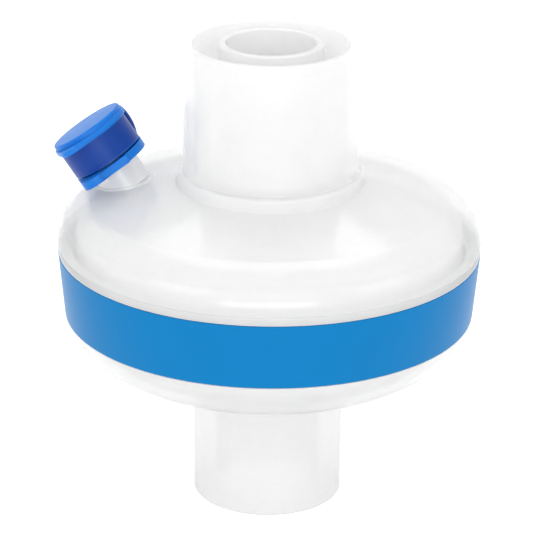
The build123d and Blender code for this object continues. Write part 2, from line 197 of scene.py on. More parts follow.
class CapSizes(bpy.types.PropertyGroup):
    lobe_angle: angle("Lobe angle", "Direction of the thumb tab round the port", 74.0)
    ring_height: length("Ring height", "Height of the ring above the port's foot", 3.0 * MM)
    ring_thickness: length("Ring thickness", "Thickness of the ring", 1.2 * MM)
    ring_radius: length("Ring radius", "Outer radius of the ring", 5.5 * MM)
    ring_clearance: length("Ring clearance", "Gap between the ring and the neck", 0.07 * MM)
    step_radius: length("Ring step", "Reach of the small step on the ring", 5.9 * MM)
    step_angle: angle("Step angle", "Where the small step stands", 113.5)
    step_width: length("Step width", "Width of the small step", 4.0 * MM)
    skirt_gap: length("Skirt gap", "Gap between the ring and the skirt", 0.3 * MM)
    skirt_height: length("Skirt height", "Height of the skirt", 4.2 * MM)
    skirt_radius: length("Skirt radius", "Outer radius of the skirt", 5.45 * MM)
    skirt_clearance: length("Skirt clearance", "Gap between the skirt and the port's bead", 0.15 * MM)
    flange_thickness: length("Flange", "Thickness of the flange", 0.8 * MM)
    flange_radius: length("Flange radius", "Outer radius of the flange", 5.85 * MM)
    disc_thickness: length("Disc", "Thickness of the top disc", 0.75 * MM)
    disc_radius: length("Disc radius", "Outer radius of the top disc", 5.6 * MM)
    disc_round: length("Disc rounding", "Rounding of the top disc's edge", 0.25 * MM)
    roof_gap: length("Roof gap", "Gap between the port's tip and the cap's roof", 0.3 * MM)
    plug_length: length("Plug", "Length of the plug", 3.0 * MM)
    plug_clearance: length("Plug clearance", "Gap between the plug and the bore", 0.15 * MM)
    tab_reach: length("Tab reach", "Reach of the thumb tab", 7.5 * MM)
    tab_radius: length("Tab radius", "Radius of the thumb tab's tip", 2.2 * MM)
    lug_radius: length("Lug radius", "Radius of the strap lug's shoulders", 2.0 * MM)
    lug_reach: length("Lug reach", "Reach of the strap lug", 7.3 * MM)
    lug_setback: length("Lug setback", "Distance of the lug's centre from its cut end", 1.5 * MM)
    strap_width: length("Strap width", "Width of the strap", 2.4 * MM)
    strap_thickness: length("Strap thickness", "Thickness of the strap", 0.7 * MM)
    strap_bulge: length("Strap bulge", "How far the strap arches out past the lugs", 0.9 * MM)
    edge_round: length("Edge rounding", "Rounding of the soft moulding's edges", 0.12 * MM)


class MediaSizes(bpy.types.PropertyGroup):
    pad_edge: length("Pad edge", "Thickness of the pad where it is pinched", 1.2 * MM)
    pad_taper: length("Pad taper", "Slope of the pad's shoulder", 1.0 * MM)
    pad_crown: length("Pad crown", "Rounding of the pad's shoulder", 0.8 * MM)
    media_gap: length("Gap", "Gap between the media and the shells", 0.3 * MM)
    foam_round: length("Foam rounding", "Rounding of the foam disc's edge", 0.5 * MM)


class FinishColours(bpy.types.PropertyGroup):
    shell: tint("Shell", "Milky clear plastic of the housing", (0.98, 0.98, 0.98))
    shell_cover: share("Shell cover", "How much of the light the milky plastic catches", 0.56)
    shell_clearness: share("Shell clearness", "How much of the caught light is bent through it", 0.1)
    shell_roughness: share("Shell roughness", "Roughness of the housing's plastic", 0.1)
    felt: tint("Felt", "Filter pad", (0.97, 0.97, 0.965))
    foam: tint("Foam", "Heat and moisture exchange disc", (0.95, 0.95, 0.94))
    band: tint("Band", "Printed band", (0.002, 0.195, 0.49))
    # The next two colours are one blue moulding lit two ways. The first is painted light, where light shines
    # through the thin plates. The second is painted shade on the skirt under the flange.
    cap: tint("Cap", "Soft blue moulding where it is thin", (0.003, 0.175, 0.62))
    cap_painted_shade: tint("Deep cap", "Soft blue moulding where it is thick", (0.0, 0.046, 0.3))


class StudioSettings(bpy.types.PropertyGroup):
    lens: bpy.props.FloatProperty(name="Lens", description="Focal length in millimetres", default=176.86)
    camera_distance: length("Camera distance", "Distance of the camera from the object's middle", 0.3838)
    camera_rise: angle("Camera rise", "Angle of the camera above the horizon", 21.69)
    camera_roll: angle("Camera roll", "Roll of the camera", 0.55)
    camera_aim: bpy.props.FloatVectorProperty(
        name="Camera aim", description="Point that the camera looks at",
        default=(-0.00038, 0.0, 0.0352), subtype="XYZ", unit="LENGTH")
    sky: bpy.props.FloatProperty(name="Sky", description="Strength of the white room", default=0.87)
    floor: tint("Floor", "Pale floor", (0.86, 0.86, 0.86))
    floor_glow: share("Floor glow", "Light that the floor adds towards the lens", 0.35)


SETTINGS = {
    "filter_housing": HousingSizes,
    "filter_machine_port": MachinePortSizes,
    "filter_sample_port": SamplePortSizes,
    "filter_cap": CapSizes,
    "filter_media": MediaSizes,
    "filter_finish": FinishColours,
    "filter_studio": StudioSettings,
}


# Outlines, drawn as radius and height

def arc(centre, radius, start, end):
    """Points of an arc about a centre, from one angle in degrees to another."""
    true_step = degrees(2 * acos(max(0.0, 1 - ARC_SAG / radius)))
    step_angle = min(ARC_STEP, max(true_step, FINEST_ARC_STEP))
    steps = max(2, round(abs(end - start) / step_angle))
    turns = [radians(start + (end - start) * step / steps) for step in range(steps + 1)]
    return [(centre[0] + radius * cos(turn), centre[1] + radius * sin(turn)) for turn in turns]


def leaving_arc(start, heading, end):
    """Points of the arc that leaves start along heading (in degrees) and ends at end."""
    across, up = end[0] - start[0], end[1] - start[1]
    side = (-sin(radians(heading)), cos(radians(heading)))
    radius = (across ** 2 + up ** 2) / (2 * (across * side[0] + up * side[1]))
    centre = (start[0] + side[0] * radius, start[1] + side[1] * radius)
    first = degrees(atan2(start[1] - centre[1], start[0] - centre[0]))
    last = degrees(atan2(end[1] - centre[1], end[0] - centre[0]))
    turn = (last - first + 180) % 360 - 180
    return arc(centre, abs(radius), first, first + turn)


def bulge(start, end, height):
    """Points of the arc from start to end that swells by height on the right of the way between them."""
    chord = hypot(end[0] - start[0], end[1] - start[1])
    heading = degrees(atan2(end[1] - start[1], end[0] - start[0]))
    return leaving_arc(start, heading - degrees(2 * atan2(2 * height, chord)), end)


def rounded(corners):
    """Points of a closed outline whose corners are (radius, height) or (radius, height, rounding)."""
    points = []
    count = len(corners)
    for index, corner in enumerate(corners):
        here = Vector(corner[:2])
        rounding = corner[2] if len(corner) > 2 else 0
        if not rounding:
            points.append((here.x, here.y))
            continue
        back = (Vector(corners[index - 1][:2]) - here).normalized()
        on = (Vector(corners[(index + 1) % count][:2]) - here).normalized()
        half = acos(max(-1.0, min(1.0, back.dot(on)))) / 2
        centre = here + (back + on).normalized() * rounding / sin(half)
        foot = here + back * rounding / tan(half) - centre
        tip = here + on * rounding / tan(half) - centre
        first, last = degrees(atan2(foot.y, foot.x)), degrees(atan2(tip.y, tip.x))
        turn = (last - first + 180) % 360 - 180
        points += arc((centre.x, centre.y), rounding, first, first + turn)
    return points


def cone_radius(lead_radius, depth, sign=1):
    """Radius of a conical wall at a depth behind its mouth; sign is -1 in a socket."""
    sizes = bpy.context.scene.filter_housing
    return lead_radius + sign * sizes.taper / 2 * (depth - sizes.lead)


# Modelling steps

def start_piece(name):
    """Names the new primitive, with nothing else selected."""
    piece = bpy.context.object
    piece.name = piece.data.name = name
    return piece


def deselect():
    bpy.ops.object.select_all(action="DESELECT")


def only(piece):
    """Selects one piece and makes it active."""
    deselect()
    piece.select_set(True)
    bpy.context.view_layer.objects.active = piece


def edit(piece):
    """Opens a piece in edit mode with all of it selected."""
    only(piece)
    bpy.ops.object.mode_set(mode="EDIT")
    bpy.ops.mesh.select_mode(type="VERT")
    bpy.ops.mesh.select_all(action="SELECT")


def close_up():
    """Merges doubles, turns the faces outwards and leaves edit mode."""
    bpy.ops.mesh.select_all(action="SELECT")
    bpy.ops.mesh.remove_doubles(threshold=MERGE_DISTANCE)
    bpy.ops.mesh.normals_make_consistent(inside=False)
    bpy.ops.object.mode_set(mode="OBJECT")


def trace(name, points):
    """A chain of edges through points (radius, height), drawn from one corner of a plane."""
    deselect()
    bpy.ops.mesh.primitive_plane_add(size=MM)
    piece = start_piece(name)
    edit(piece)
    bpy.ops.mesh.merge(type="CENTER")
    bpy.ops.transform.translate(value=(points[0][0], 0, points[0][1]))
    for here, there in zip(points, points[1:]):
        move = {"value": (there[0] - here[0], 0, there[1] - here[1])}
        bpy.ops.mesh.extrude_region_move(TRANSFORM_OT_translate=move)
    return piece


def turned(name, points, steps=TURN_STEPS):
    """A solid of revolution: a closed outline, traced and spun about the axis."""
    piece = trace(name, points + points[:1])
    bpy.ops.mesh.select_all(action="SELECT")
    bpy.ops.mesh.remove_doubles(threshold=MERGE_DISTANCE)
    bpy.ops.mesh.select_all(action="SELECT")
    bpy.ops.mesh.spin(steps=steps, angle=2 * pi, center=(0, 0, 0), axis=(0, 0, 1))
    close_up()
    return piece


def turned_solid(name, points, steps=TURN_STEPS):
    """A solid of revolution whose outline starts and ends on the axis."""
    piece = trace(name, points)
    bpy.ops.mesh.select_all(action="SELECT")
    bpy.ops.mesh.spin(steps=steps, angle=2 * pi, center=(0, 0, 0), axis=(0, 0, 1))
    close_up()
    return piece


def combine(piece, tool, operation):
    """Joins a tool to a piece or cuts it away, and removes the tool."""
    only(piece)
    modifier = piece.modifiers.new(operation.lower(), "BOOLEAN")
    modifier.operation = operation
    modifier.object = tool
    modifier.solver = "EXACT"
    bpy.ops.object.modifier_apply(modifier=modifier.name)
    bpy.data.objects.remove(tool)
    edit(piece)
    close_up()


def soften(piece, width, segments=3, limit=40.0):
    """Rounds a piece's sharp edges."""
    only(piece)
    modifier = piece.modifiers.new("rounding", "BEVEL")
    modifier.width = width
    modifier.segments = segments
    modifier.limit_method = "ANGLE"
    modifier.angle_limit = radians(limit)
    modifier.use_clamp_overlap = True
    bpy.ops.object.modifier_apply(modifier=modifier.name)


def smooth(piece, limit=32.0):
    only(piece)
    bpy.ops.object.shade_smooth_by_angle(angle=radians(limit))


def place(piece, placement):
    """Moves a piece's mesh to its place and leaves its object at the origin."""
    only(piece)
    piece.matrix_world = placement
    bpy.ops.object.transform_apply(location=True, rotation=True, scale=True)


def finish_piece(piece, body, nodes, material):
    """Gives a piece its finish, its body and the nodes that it stands for."""
    piece.data.materials.clear()
    piece.data.materials.append(material)
    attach(piece, body)
    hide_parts(*nodes)
    deselect()


def sample_placement():
    """The sampling port's own frame: X points down the cone, Z up the port, origin at its foot."""
    foot = sample_tip - sample_axis * bpy.context.scene.filter_sample_port.port_length
    across = Vector((0, 0, 1)).cross(sample_axis).normalized()
    down = across.cross(sample_axis).normalized()
    turn = Matrix((down, across, sample_axis)).transposed().to_4x4()
    return Matrix.Translation(foot) @ turn


# Node helpers and shared effects

def add_node(tree, kind, x, y, **values):
    """A node at a place in the tree, with its settings and its plain input values."""
    node = tree.nodes.new(kind)
    node.location = (x, y)
    for key, value in values.items():
        if key in node.inputs:
            node.inputs[key].default_value = value
        else:
            setattr(node, key, value)
    return node


def new_material(name):
    """An empty node material with its output and surface shader."""
    material = bpy.data.materials.new(name)
    material.use_nodes = True
    tree = material.node_tree
    tree.nodes.clear()
    output = add_node(tree, "ShaderNodeOutputMaterial", 900, 0)
    shader = add_node(tree, "ShaderNodeBsdfPrincipled", 600, 0)
    tree.links.new(shader.outputs["BSDF"], output.inputs["Surface"])
    return material, tree, shader


def new_group(name, inputs, outputs):
    """A shader node group with float inputs, a vector input first, and named outputs."""
    tree = bpy.data.node_groups.new(name, "ShaderNodeTree")
    tree.interface.new_socket("Vector", in_out="INPUT", socket_type="NodeSocketVector")
    for label, value in inputs:
        socket = tree.interface.new_socket(label, in_out="INPUT", socket_type="NodeSocketFloat")
        socket.default_value = value
    for label in outputs:
        tree.interface.new_socket(label, in_out="OUTPUT", socket_type="NodeSocketFloat")
    start = add_node(tree, "NodeGroupInput", -700, 0)
    end = add_node(tree, "NodeGroupOutput", 500, 0)
    return tree, start, end


def place_group(tree, group, x, y, **values):
    node = tree.nodes.new("ShaderNodeGroup")
    node.node_tree = group
    node.location = (x, y)
    for key, value in values.items():
        node.inputs[key.replace("_", " ").capitalize()].default_value = value
    return node


def moulding_group():
    """Faint flow marks and fine grain of a moulded plastic skin."""
    name = "moulded_skin"
    if name in bpy.data.node_groups:
        return bpy.data.node_groups[name]
    inputs = [("Grain", 1400.0), ("Flow", 90.0), ("Roughness", 0.2), ("Spread", 0.05)]
    tree, start, end = new_group(name, inputs, ["Roughness", "Height", "Cloud"])
    link = tree.links.new
    flow = add_node(tree, "ShaderNodeTexNoise", -400, 200, Detail=3.0, Roughness=0.55)
    grain = add_node(tree, "ShaderNodeTexNoise", -400, -100, Detail=2.0, Roughness=0.6)
    link(start.outputs["Vector"], flow.inputs["Vector"])
    link(start.outputs["Flow"], flow.inputs["Scale"])
    link(start.outputs["Vector"], grain.inputs["Vector"])
    link(start.outputs["Grain"], grain.inputs["Scale"])
    centred = add_node(tree, "ShaderNodeMath", -180, 200, operation="SUBTRACT")
    centred.inputs[1].default_value = 0.5
    link(flow.outputs["Fac"], centred.inputs[0])
    spread = add_node(tree, "ShaderNodeMath", 0, 200, operation="MULTIPLY_ADD")
    link(centred.outputs[0], spread.inputs[0])
    link(start.outputs["Spread"], spread.inputs[1])
    link(start.outputs["Roughness"], spread.inputs[2])
    height = add_node(tree, "ShaderNodeMath", 0, -100, operation="MULTIPLY_ADD")
    height.inputs[1].default_value = 0.35
    link(grain.outputs["Fac"], height.inputs[0])
    link(flow.outputs["Fac"], height.inputs[2])
    link(spread.outputs[0], end.inputs["Roughness"])
    link(height.outputs[0], end.inputs["Height"])
    link(flow.outputs["Fac"], end.inputs["Cloud"])
    return tree


def fibre_group():
    """Matted fibres: fine crossing strands over soft clumps."""
    name = "matted_fibres"
    if name in bpy.data.node_groups:
        return bpy.data.node_groups[name]
    tree, start, end = new_group(name, [("Fibre scale", 900.0), ("Clump scale", 220.0)], ["Shade", "Height"])
    link = tree.links.new
    shades = []
    for level, stretch in enumerate(((1.0, 0.22, 1.0), (0.22, 1.0, 1.0))):
        squeeze = add_node(tree, "ShaderNodeVectorMath", -500, 250 - 220 * level, operation="MULTIPLY")
        squeeze.inputs[1].default_value = stretch
        strands = add_node(tree, "ShaderNodeTexNoise", -300, 250 - 220 * level, Detail=3.0, Roughness=0.7,
                           Distortion=0.8)
        link(start.outputs["Vector"], squeeze.inputs[0])
        link(squeeze.outputs[0], strands.inputs["Vector"])
        link(start.outputs["Fibre scale"], strands.inputs["Scale"])
        shades.append(strands)
    clumps = add_node(tree, "ShaderNodeTexNoise", -300, -200, Detail=2.0, Roughness=0.5)
    link(start.outputs["Vector"], clumps.inputs["Vector"])
    link(start.outputs["Clump scale"], clumps.inputs["Scale"])
    strongest = add_node(tree, "ShaderNodeMath", -80, 150, operation="MAXIMUM")
    link(shades[0].outputs["Fac"], strongest.inputs[0])
    link(shades[1].outputs["Fac"], strongest.inputs[1])
    shade = add_node(tree, "ShaderNodeMath", 100, 50, operation="MULTIPLY_ADD")
    shade.inputs[1].default_value = 0.6
    link(clumps.outputs["Fac"], shade.inputs[0])
    link(strongest.outputs[0], shade.inputs[2])
    link(shade.outputs[0], end.inputs["Shade"])
    link(strongest.outputs[0], end.inputs["Height"])
    return tree


def object_coordinates(tree):
    return add_node(tree, "ShaderNodeTexCoord", -900, 0).outputs["Object"]


def shaded(tree, value, low, high, dark, light, x, y):
    """A colour between dark and light, as value goes from low to high."""
    reach = add_node(tree, "ShaderNodeMapRange", x, y)
    reach.inputs["From Min"].default_value = low
    reach.inputs["From Max"].default_value = high
    tree.links.new(value, reach.inputs["Value"])
    mix = add_node(tree, "ShaderNodeMix", x + 200, y, data_type="RGBA")
    mix.inputs[6].default_value = (*dark, 1)
    mix.inputs[7].default_value = (*light, 1)
    tree.links.new(reach.outputs["Result"], mix.inputs["Factor"])
    return mix.outputs[2]


def bump(tree, shader, height, strength, distance, x, y):
    node = add_node(tree, "ShaderNodeBump", x, y, Strength=strength, Distance=distance)
    tree.links.new(height, node.inputs["Height"])
    tree.links.new(node.outputs["Normal"], shader.inputs["Normal"])


def scaled(colour, factor):
    return tuple(channel * factor for channel in colour)


def milky_shell():
    """Milky clear plastic with a fine speckle, which lets the media behind it show through."""
    name = "milky_clear_plastic"
    if name in bpy.data.materials:
        return bpy.data.materials[name]
    finish = bpy.context.scene.filter_finish
    material, tree, shader = new_material(name)
    link = tree.links.new
    place_on = object_coordinates(tree)
    skin = place_group(tree, moulding_group(), -300, -200, grain=900.0, flow=160.0,
                       roughness=finish.shell_roughness, spread=0.08)
    link(place_on, skin.inputs["Vector"])
    fibres = place_group(tree, fibre_group(), -600, 300, fibre_scale=1100.0, clump_scale=260.0)
    link(place_on, fibres.inputs["Vector"])
    speckle = scaled(finish.shell, 0.955)
    link(shaded(tree, fibres.outputs["Shade"], 0.55, 1.1, speckle, finish.shell, -300, 300),
         shader.inputs["Base Color"])
    link(skin.outputs["Roughness"], shader.inputs["Roughness"])
    shader.inputs["IOR"].default_value = 1.47
    shader.inputs["Specular IOR Level"].default_value = 0.9
    shader.inputs["Alpha"].default_value = finish.shell_cover
    shader.inputs["Transmission Weight"].default_value = finish.shell_clearness
    bump(tree, shader, skin.outputs["Height"], 0.05, 0.0001, 300, -300)
    return material


def felt_material():
    finish = bpy.context.scene.filter_finish
    material, tree, shader = new_material("filter_felt")
    link = tree.links.new
    fibres = place_group(tree, fibre_group(), -500, 0, fibre_scale=1300.0, clump_scale=240.0)
    link(object_coordinates(tree), fibres.inputs["Vector"])
    link(shaded(tree, fibres.outputs["Shade"], 0.5, 1.15, scaled(finish.felt, 0.86), finish.felt, -200, 150),
         shader.inputs["Base Color"])
    shader.inputs["Roughness"].default_value = 0.95
    shader.inputs["Sheen Weight"].default_value = 0.3
    bump(tree, shader, fibres.outputs["Height"], 0.6, 0.0002, 300, -300)
    return material


def foam_material():
    """Open foam: small round cells."""
    finish = bpy.context.scene.filter_finish
    material, tree, shader = new_material("exchange_foam")
    link = tree.links.new
    cells = add_node(tree, "ShaderNodeTexVoronoi", -500, 0, Scale=1500.0)
    link(object_coordinates(tree), cells.inputs["Vector"])
    link(shaded(tree, cells.outputs["Distance"], 0.1, 0.6, scaled(finish.foam, 0.8), finish.foam, -200, 150),
         shader.inputs["Base Color"])
    shader.inputs["Roughness"].default_value = 0.9
    bump(tree, shader, cells.outputs["Distance"], 0.6, 0.0003, 300, -300)
    return material


def band_material():
    """Printed film with a satin face."""
    finish = bpy.context.scene.filter_finish
    material, tree, shader = new_material("printed_band")
    link = tree.links.new
    skin = place_group(tree, moulding_group(), -500, 0, grain=2500.0, flow=60.0, roughness=0.34, spread=0.06)
    link(object_coordinates(tree), skin.inputs["Vector"])
    link(shaded(tree, skin.outputs["Cloud"], 0.3, 0.7, scaled(finish.band, 0.96), finish.band, -200, 150),
         shader.inputs["Base Color"])
    link(skin.outputs["Roughness"], shader.inputs["Roughness"])
    shader.inputs["IOR"].default_value = 1.2
    bump(tree, shader, skin.outputs["Height"], 0.04, 0.0001, 300, -300)
    return material


def skirt_shade_mask(tree):
    """1 over the height of the cap's skirt, which is painted in shade under the flange, and 0 at its thin
    plates, which are painted lit where light shines through them.
    """
    skirt, flange, _ = cap_levels()
    foot = sample_placement()
    axis = foot.to_3x3() @ Vector((0, 0, 1))
    middle = axis.dot(foot.translation) + (skirt + flange) / 2
    along = add_node(tree, "ShaderNodeVectorMath", -900, 300, operation="DOT_PRODUCT")
    along.inputs[1].default_value = axis
    tree.links.new(object_coordinates(tree), along.inputs[0])
    offset = add_node(tree, "ShaderNodeMath", -720, 300, operation="SUBTRACT")
    offset.inputs[1].default_value = middle
    tree.links.new(along.outputs["Value"], offset.inputs[0])
    away = add_node(tree, "ShaderNodeMath", -540, 300, operation="ABSOLUTE")
    tree.links.new(offset.outputs[0], away.inputs[0])
    edge = (flange - skirt) / 2
    lit_margin, shaded_margin = 0.05 * MM, 0.25 * MM
    mask = add_node(tree, "ShaderNodeMapRange", -360, 300)
    mask.inputs["From Min"].default_value = edge + lit_margin
    mask.inputs["From Max"].default_value = edge - shaded_margin
    tree.links.new(away.outputs[0], mask.inputs["Value"])
    return mask.outputs["Result"]


def cap_material():
    """Soft blue moulding, in painted shade on its skirt and in painted light on its thin plates, where light
    shines through them.
    """
    name = "soft_blue_moulding"
    if name in bpy.data.materials:
        return bpy.data.materials[name]
    finish = bpy.context.scene.filter_finish
    material, tree, shader = new_material(name)
    link = tree.links.new
    skin = place_group(tree, moulding_group(), -500, 0, grain=2600.0, flow=500.0, roughness=0.38, spread=0.1)
    link(object_coordinates(tree), skin.inputs["Vector"])
    # Painted light and shade: the skirt under the flange gets the shaded colour, and the thin plates get the
    # lit colour.
    link(shaded(tree, skirt_shade_mask(tree), 0.0, 1.0, finish.cap, finish.cap_painted_shade, -200, 150),
         shader.inputs["Base Color"])
    link(skin.outputs["Roughness"], shader.inputs["Roughness"])
    shader.inputs["IOR"].default_value = 1.33
    shader.inputs["Subsurface Weight"].default_value = 0.3
    shader.inputs["Subsurface Radius"].default_value = (0.1, 0.5, 1.0)
    shader.inputs["Subsurface Scale"].default_value = 0.0012
    bump(tree, shader, skin.outputs["Height"], 0.08, 0.0001, 300, -300)
    return material


# Outlines of the housing

def corner_centre():
    """Centre of the lower shell's rounded corner."""
    sizes = bpy.context.scene.filter_housing
    return (
        rim_radius - sizes.underside_inset - sizes.corner_round * cos(sizes.corner_start),
        sizes.patient_length + sizes.underside_rise - sizes.corner_round * sin(sizes.corner_start),
    )


def corner_arc(inset):
    """The rounded corner, or a surface inset in it, from the underside up to the side wall."""
    sizes = bpy.context.scene.filter_housing
    start = degrees(sizes.corner_start)
    return arc(corner_centre(), sizes.corner_round - inset, start, start + degrees(sizes.corner_sweep))


def stepped_corner():
    """The rounded corner's outer face, with a small step in at the mould's parting line."""
    sizes = bpy.context.scene.filter_housing
    lip = degrees(sizes.lip_angle)
    start = degrees(sizes.corner_start)
    below = arc(corner_centre(), sizes.corner_round - sizes.lip_step, start, lip)
    above = arc(corner_centre(), sizes.corner_round, lip, start + degrees(sizes.corner_sweep))
    return [*below, (*above[0], sizes.lip_step / 2), *above[1:]]


def corner_reach(height, inset):
    """Radius of the rounded corner, or of a surface inset in it, at a height."""
    centre = corner_centre()
    arm = bpy.context.scene.filter_housing.corner_round - inset
    return centre[0] + (arm ** 2 - (centre[1] - height) ** 2) ** 0.5


def side_radius(height, inset=0.0):
    """Radius of the lower shell's side wall at a height."""
    foot = corner_arc(0)[-1]
    slope = (rim_radius - foot[0]) / (seam_z - foot[1])
    return rim_radius - slope * (seam_z - height) - inset


def patient_half_outline():
    sizes = bpy.context.scene.filter_housing
    root_radius = cone_radius(patient_cone_radius, sizes.patient_length)
    floor_z = sizes.patient_length + sizes.wall
    rim_bore = rim_radius - sizes.rim_wall
    chamber = rim_bore - sizes.tongue_wall
    low, high = band_low.z - sizes.band_gap, band_high.z + sizes.band_gap
    corners = [
        (patient_socket_radius, 0, sizes.rim_round),
        (patient_cone_radius, 0, sizes.rim_round),
        (patient_cone_radius, sizes.lead),
        (root_radius, sizes.patient_length, sizes.root_round),
        *stepped_corner(),
        (side_radius(low), low),
        (side_radius(low, sizes.band_seat), low),
        (side_radius(high, sizes.band_seat), high),
        (side_radius(high), high),
        (rim_radius, seam_z, sizes.edge_round),
        (rim_bore, seam_z),
        (rim_bore, pad_low.z),
        (chamber, pad_low.z),
        *reversed(corner_arc(sizes.wall)),
        (sizes.throat, floor_z, sizes.rim_round),
        (sizes.throat, sizes.patient_stop),
        (cone_radius(patient_socket_radius, sizes.patient_stop, -1), sizes.patient_stop),
        (patient_socket_radius, sizes.lead),
    ]
    return rounded(corners)


def collar_reach():
    """Radius of the collar at the foot of the machine port."""
    port = bpy.context.scene.filter_machine_port
    return port.socket_radius + port.tube_wall + port.collar_overhang


def machine_half_outline():
    sizes = bpy.context.scene.filter_housing
    port = bpy.context.scene.filter_machine_port
    tongue_radius = rim_radius - sizes.rim_wall - sizes.seam_gap
    tongue_bore = tongue_radius - sizes.tongue_wall
    rim_top = (rim_radius, seam_z + sizes.rim_height)
    crease = (rim_radius - sizes.crease_inset, seam_z + sizes.crease_height)
    crease_top = (crease[0] - sizes.crease_step, crease[1] + sizes.crease_step / 2)
    ridge = (rim_radius - sizes.ridge_inset, seam_z + sizes.ridge_height)
    tube_radius = port.socket_radius + port.tube_wall
    collar_radius = collar_reach()
    collar_z = ridge[1] + sizes.dome_rise
    collar_top = collar_z + port.collar_height
    socket_floor = top_z - port.socket_depth
    port_floor = socket_floor - sizes.wall
    slope = sizes.dome_rise / (ridge[0] - collar_radius)
    steep = hypot(1, slope)
    under_tube = collar_z - slope * (tube_radius - collar_radius) - sizes.wall * steep
    inner_ridge = (ridge[0] - sizes.wall * slope / steep, ridge[1] - sizes.wall / steep)
    inner_rim = (tongue_bore, seam_z + sizes.rim_height)
    corners = [
        (tongue_bore, tongue_z),
        (tongue_radius, tongue_z),
        (tongue_radius, seam_z),
        (rim_radius, seam_z, sizes.edge_round),
        *leaving_arc(rim_top, 90, crease),
        *bulge(crease_top, ridge, sizes.shoulder_bulge)[:-1],
        (*ridge, sizes.ridge_round / 4),
        (collar_radius, collar_z, port.collar_foot_round),
        (collar_radius, collar_top, port.collar_round),
        (tube_radius + port.tube_draft, collar_top, port.collar_foot_round),
        (tube_radius, top_z, sizes.rim_round),
        (port.socket_radius, top_z, sizes.rim_round),
        (port.socket_radius, top_z - sizes.lead),
        (cone_radius(port.socket_radius, port.socket_depth, -1), socket_floor, sizes.rim_round),
        (cone_radius(machine_cone_radius, port.socket_depth), socket_floor, sizes.rim_round),
        (machine_cone_radius, top_z - sizes.lead),
        (machine_cone_radius, top_z, sizes.rim_round),
        (port.cone_bore, top_z, sizes.rim_round),
        (port.cone_bore, socket_floor),
        (machine_cone_radius, port_floor),
        (port.socket_radius, port_floor),
        (tube_radius, under_tube),
        *reversed(leaving_arc(inner_rim, 90, inner_ridge)),
    ]
    return rounded(corners)


# Pieces

def model_patient_half():
    """Lower shell with the patient port, and the ribs that carry the foam."""
    sizes = bpy.context.scene.filter_housing
    shell = turned("patient_half", patient_half_outline())
    foot = [point for point in corner_arc(sizes.wall / 2) if point[1] < foam_low.z]
    reach = corner_reach(foam_low.z, sizes.wall / 2)
    low = sizes.patient_length + sizes.wall / 2
    blade = [*foot, (reach, foam_low.z), (sizes.rib_inner, foam_low.z), (sizes.rib_inner, low)]
    blades = trace("blades", blade + blade[:1])
    bpy.ops.mesh.select_all(action="SELECT")
    bpy.ops.mesh.remove_doubles(threshold=MERGE_DISTANCE)
    bpy.ops.mesh.select_all(action="SELECT")
    bpy.ops.mesh.edge_face_add()
    bpy.ops.transform.translate(value=(0, -sizes.rib_thickness / 2, 0))
    bpy.ops.mesh.extrude_region_move(TRANSFORM_OT_translate={"value": (0, sizes.rib_thickness, 0)})
    bpy.ops.mesh.select_all(action="SELECT")
    bpy.ops.mesh.spin(steps=sizes.rib_count, angle=2 * pi, center=(0, 0, 0), axis=(0, 0, 1), dupli=True)
    close_up()
    place(blades, Matrix.Rotation(sizes.rib_angle, 4, "Z"))
    combine(shell, blades, "UNION")
    smooth(shell)
    return shell


def model_foot_ring():
    """Low ring that the sampling port stands in, following the shallow cone."""
    sizes = bpy.context.scene.filter_housing
    port = bpy.context.scene.filter_sample_port
    collar = collar_reach()
    ridge = rim_radius - sizes.ridge_inset
    ridge_z = seam_z + sizes.ridge_height
    collar_z = ridge_z + sizes.dome_rise
    slab = turned("foot_ring", [
        (collar, collar_z - sizes.wall / 2),
        (ridge, ridge_z - sizes.wall / 2),
        (ridge, ridge_z + port.foot_height),
        (collar, collar_z + port.foot_height),
    ])
    reach = port.neck + port.foot_reach
    plug = turned_solid("foot_plug", [(0, -port.port_length), (reach, -port.port_length),
                                      (reach, port.port_length), (0, port.port_length)], steps=ROUND_STEPS)
    place(plug, sample_placement())
    combine(slab, plug, "INTERSECT")
    soften(slab, port.foot_height / 2)
    return slab


def model_machine_half():
    """Upper shell with the machine port and the sampling port."""
    port = bpy.context.scene.filter_sample_port
    wall = bpy.context.scene.filter_housing.wall
    shell = turned("machine_half", machine_half_outline())
    foot = -wall / 2
    neck = rounded([
        (0, foot),
        (port.neck, foot),
        (port.neck, port.port_length - port.bead_length),
        (port.bead, port.port_length - port.bead_length, port.bead_length / 5),
        (port.bead, port.port_length, port.bead_length / 3),
        (0, port.port_length),
    ])
    spout = turned_solid("spout", neck, steps=ROUND_STEPS)
    place(spout, sample_placement())
    combine(shell, spout, "UNION")
    combine(shell, model_foot_ring(), "UNION")
    deep = -2.5 * wall
    bore_end = port.bore - port.bore_taper / 2 * (port.port_length - deep)
    clear = port.port_length + port.bead_length
    channel = turned_solid("channel", [(0, deep), (bore_end, deep), (port.bore, port.port_length),
                                       (port.bore, clear), (0, clear)], steps=ROUND_STEPS)
    place(channel, sample_placement())
    combine(shell, channel, "DIFFERENCE")
    smooth(shell)
    return shell


def model_pad():
    """Felt pad, thick in the middle and pinched at its edge."""
    sizes = bpy.context.scene.filter_media
    housing = bpy.context.scene.filter_housing
    shoulder = rim_radius - housing.rim_wall - housing.seam_gap - housing.tongue_wall - sizes.media_gap
    edge_z = pad_low.z + sizes.pad_edge
    outline = rounded([
        (0, pad_low.z),
        (pad_high.x, pad_low.z, sizes.pad_edge / 4),
        (pad_high.x, edge_z, sizes.pad_edge / 4),
        (shoulder, edge_z),
        (shoulder - sizes.pad_taper, pad_high.z, sizes.pad_crown),
        (0, pad_high.z),
    ])
    pad = turned_solid("felt_pad", outline, steps=MEDIA_STEPS)
    smooth(pad)
    return pad


